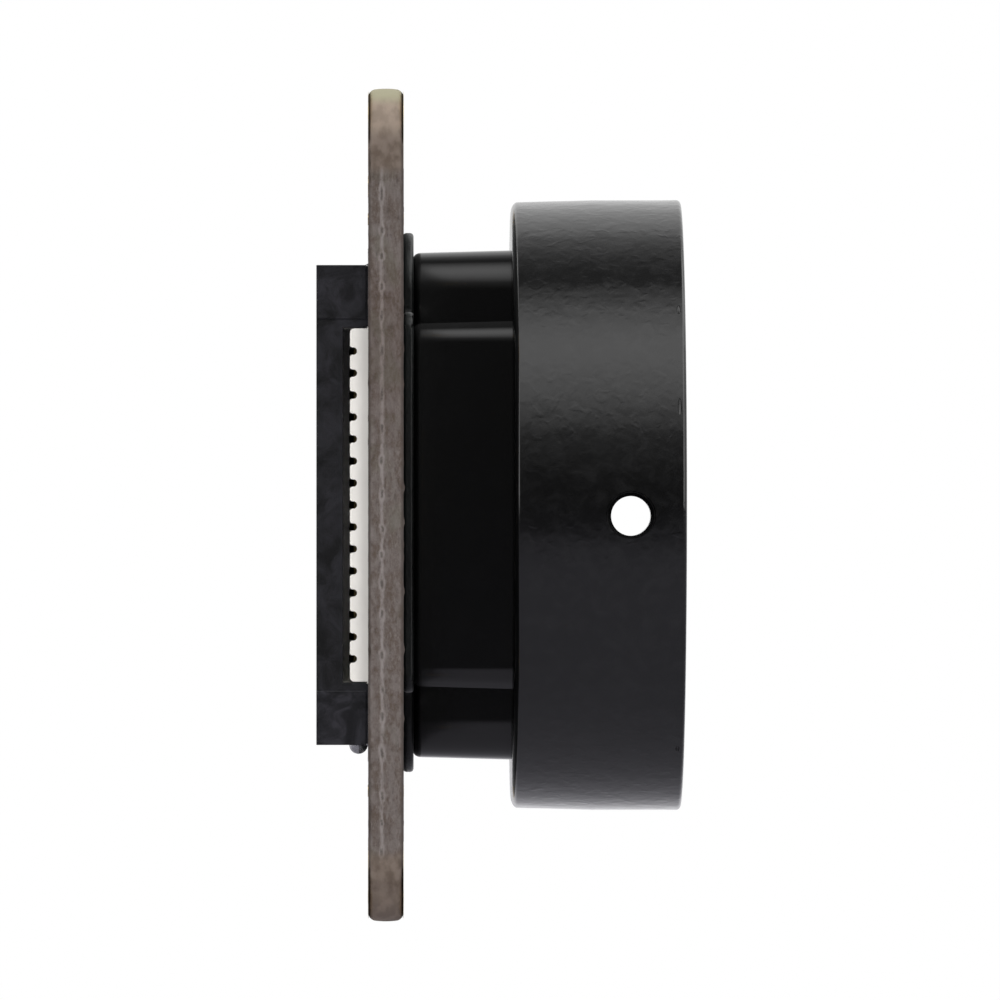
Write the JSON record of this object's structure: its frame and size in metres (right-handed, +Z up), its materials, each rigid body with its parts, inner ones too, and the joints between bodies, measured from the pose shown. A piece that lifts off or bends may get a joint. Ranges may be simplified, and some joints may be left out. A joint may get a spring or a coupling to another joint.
{
  "type": "camera module",
  "caption": "Board camera module: a square circuit board with a CS-mount lens holder on its front and a slider-locked flat-cable connector on its back.",
  "frame": {"origin": "middle of the four mounting holes, on the circuit board's back face", "axes": "+X along the optical axis, out of the lens mount; +Z up, along the connector; -Y towards the edge where the flat cable leaves"},
  "size_m": [0.017, 0.038, 0.038],
  "materials": {
    "board": "epoxy glass laminate with a dark matte solder mask",
    "gasket": "dark grey-green foam",
    "holder_paint": "black paint, semi-gloss, with a fine orange-peel texture on the ring",
    "screw_steel": "zinc-plated steel",
    "filter_glass": "coated infrared-cut filter glass",
    "silicon": "polished silicon with a fine pixel array",
    "sensor_frame": "black spacer resin",
    "sensor_glass": "clear cover glass",
    "solder": "reflowed tin solder",
    "connector_white": "ivory moulded connector plastic",
    "connector_black": "black moulded connector plastic",
    "contact_metal": "gold-flashed bronze",
    "tab_metal": "tin-plated bronze",
    "oscillator_ceramic": "brown-grey ceramic",
    "oscillator_lid": "pale gold plated lid",
    "package_black": "black moulding compound",
    "lead_tin": "tin-plated leads",
    "capacitor_ceramic": "tan ceramic",
    "terminal_tin": "matte tin terminals",
    "resistor_black": "black overglaze",
    "ferrite": "dark grey ferrite"
  },
  "bodies": {
    "module": {"circuit_board": "board", "holder_gasket": "gasket", "lens_holder": "holder_paint", "holder_screws": "screw_steel", "filter_glass": "filter_glass", "sensor_die": "silicon", "sensor_spacer": "sensor_frame", "sensor_cover_glass": "sensor_glass", "sensor_solder_balls": "solder", "connector_housing": "connector_white", "connector_contacts": "contact_metal", "connector_hold_downs": "tab_metal", "hold_down_solder": "solder", "oscillator_base": "oscillator_ceramic", "oscillator_lid": "oscillator_lid", "memory_chip_body": "package_black", "memory_chip_leads": "lead_tin", "regulator_bodies": "package_black", "regulator_leads": "lead_tin", "capacitor_bodies": "capacitor_ceramic", "capacitor_ends": "terminal_tin", "resistor_bodies": "resistor_black", "resistor_ends": "terminal_tin", "ferrite_bodies": "ferrite", "ferrite_ends": "terminal_tin"},
    "slider": {"connector_slider": "connector_black"}
  },
  "joints": [
    {"name": "slider_pull", "type": "slide", "parent": "module", "child": "slider", "axis": [0, -1, 0], "range_m": [0, 0.0012]}
  ]
}
